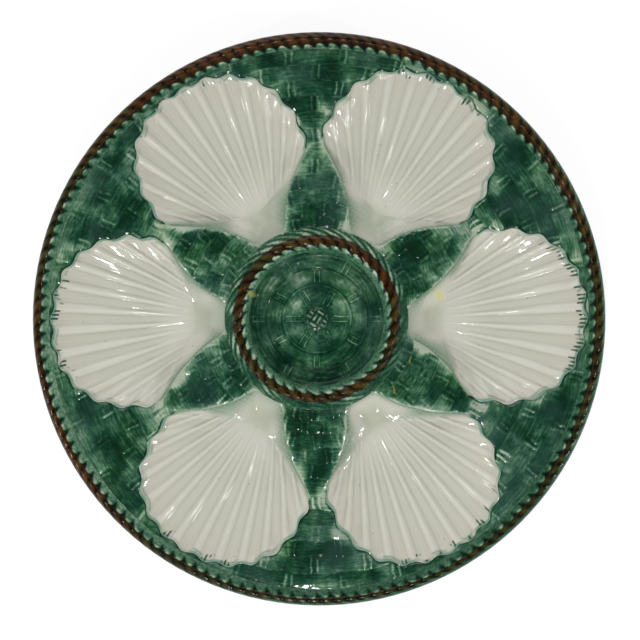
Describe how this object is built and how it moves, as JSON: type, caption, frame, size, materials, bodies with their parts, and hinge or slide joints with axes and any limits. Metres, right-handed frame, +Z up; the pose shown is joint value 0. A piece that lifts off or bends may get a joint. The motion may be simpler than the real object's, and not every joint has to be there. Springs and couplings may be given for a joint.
{
  "type": "oyster plate",
  "caption": "Round earthenware oyster plate with scallop-shell wells set in a basket-weave ground, a sauce well in the centre and twisted rope borders.",
  "frame": {"origin": "on the table under the plate's centre, in the plane of the foot ring", "axes": "+Z up, square to the plate; +X along the middle of shell well 1"},
  "size_m": [0.25, 0.25, 0.0265],
  "materials": {
    "green_glaze": "glossy, mottled dark green glaze",
    "pale_green_glaze": "glossy, thin pale green glaze",
    "cream_glaze": "glossy, warm grey white glaze",
    "brown_glaze": "glossy, streaky brown glaze"
  },
  "bodies": {
    "root": {"plate_body": "green_glaze", "foot_ring": "green_glaze", "rim_rope": "brown_glaze", "centre_rope": "brown_glaze", "centre_well": "green_glaze", "centre_weave": "green_glaze", "centre_knot": "pale_green_glaze", "shell_well_1": "cream_glaze", "shell_well_2": "cream_glaze", "shell_well_3": "cream_glaze", "shell_well_4": "cream_glaze", "shell_well_5": "cream_glaze", "shell_well_6": "cream_glaze", "weave_panel_1": "green_glaze", "weave_panel_2": "green_glaze", "weave_panel_3": "green_glaze", "weave_panel_4": "green_glaze", "weave_panel_5": "green_glaze", "weave_panel_6": "green_glaze", "weave_pad_1": "green_glaze", "weave_pad_2": "green_glaze", "weave_pad_3": "green_glaze", "weave_pad_4": "green_glaze", "weave_pad_5": "green_glaze", "weave_pad_6": "green_glaze"}
  },
  "joints": []
}
